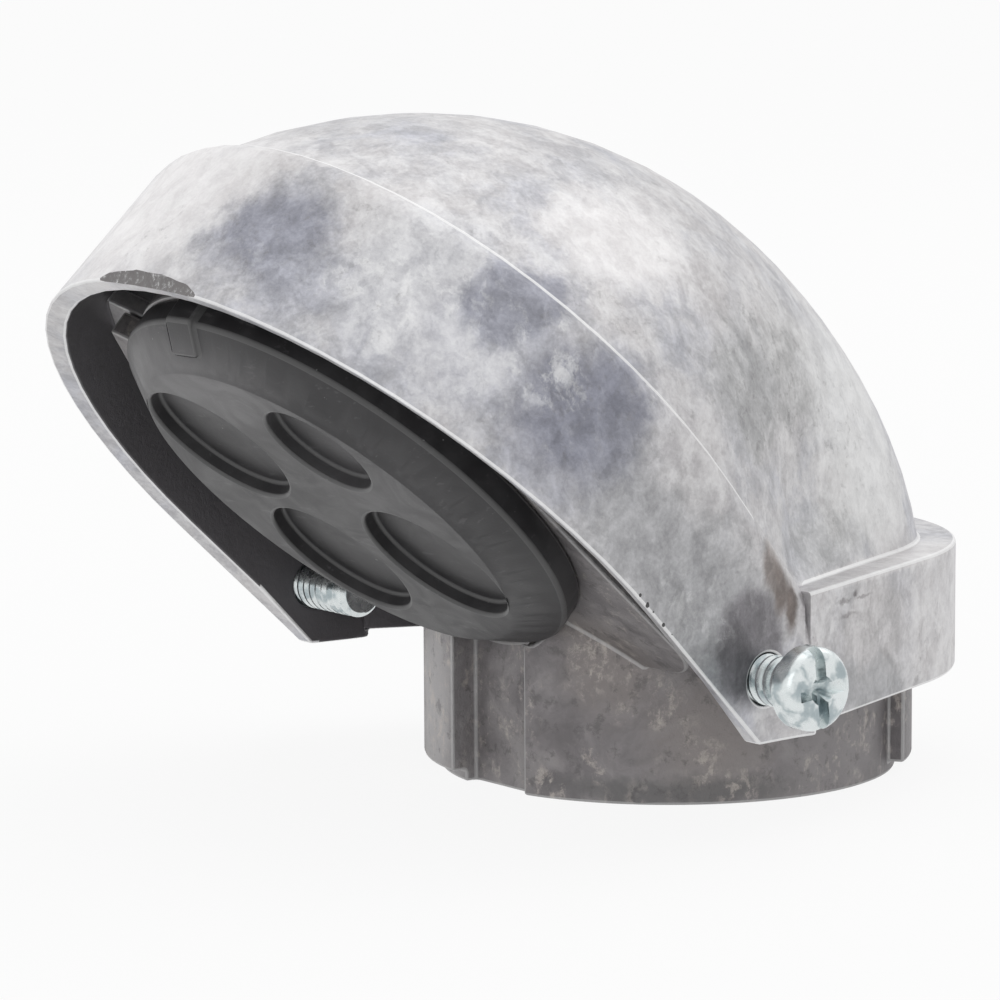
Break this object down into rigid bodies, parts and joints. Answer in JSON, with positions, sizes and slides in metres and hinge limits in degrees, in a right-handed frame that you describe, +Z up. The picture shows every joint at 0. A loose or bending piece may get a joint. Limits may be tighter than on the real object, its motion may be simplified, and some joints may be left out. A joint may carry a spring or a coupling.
{
  "type": "service entrance weatherhead",
  "caption": "Cast weatherhead for the top of a service conduit: threaded hub, slanted black insulator with round knockouts, and a domed hood held by two side screws.",
  "frame": {"origin": "centre of the hub's bottom face, on the conduit's axis", "axes": "+Z up along the conduit's axis, -Y towards the mouth and the insulator, X across the two screws"},
  "size_m": [0.086, 0.0939, 0.0672],
  "materials": {
    "base_casting": "as cast, dull and darkened",
    "hood_casting": "die cast, bright with a mottled skin",
    "black_plastic": "satin",
    "zinc_screw": "bright zinc plate"
  },
  "bodies": {
    "cap": {"base": "base_casting", "hood": "hood_casting", "insulator": "black_plastic"},
    "screw_left": {"screw_left": "zinc_screw"},
    "screw_right": {"screw_right": "zinc_screw"}
  },
  "joints": [
    {"name": "screw_left_travel", "type": "slide", "parent": "cap", "child": "screw_left", "axis": [-1, 0, 0], "range_m": [0, 0.0076]},
    {"name": "screw_right_travel", "type": "slide", "parent": "cap", "child": "screw_right", "axis": [1, 0, 0], "range_m": [-0.0046, 0.003]}
  ]
}
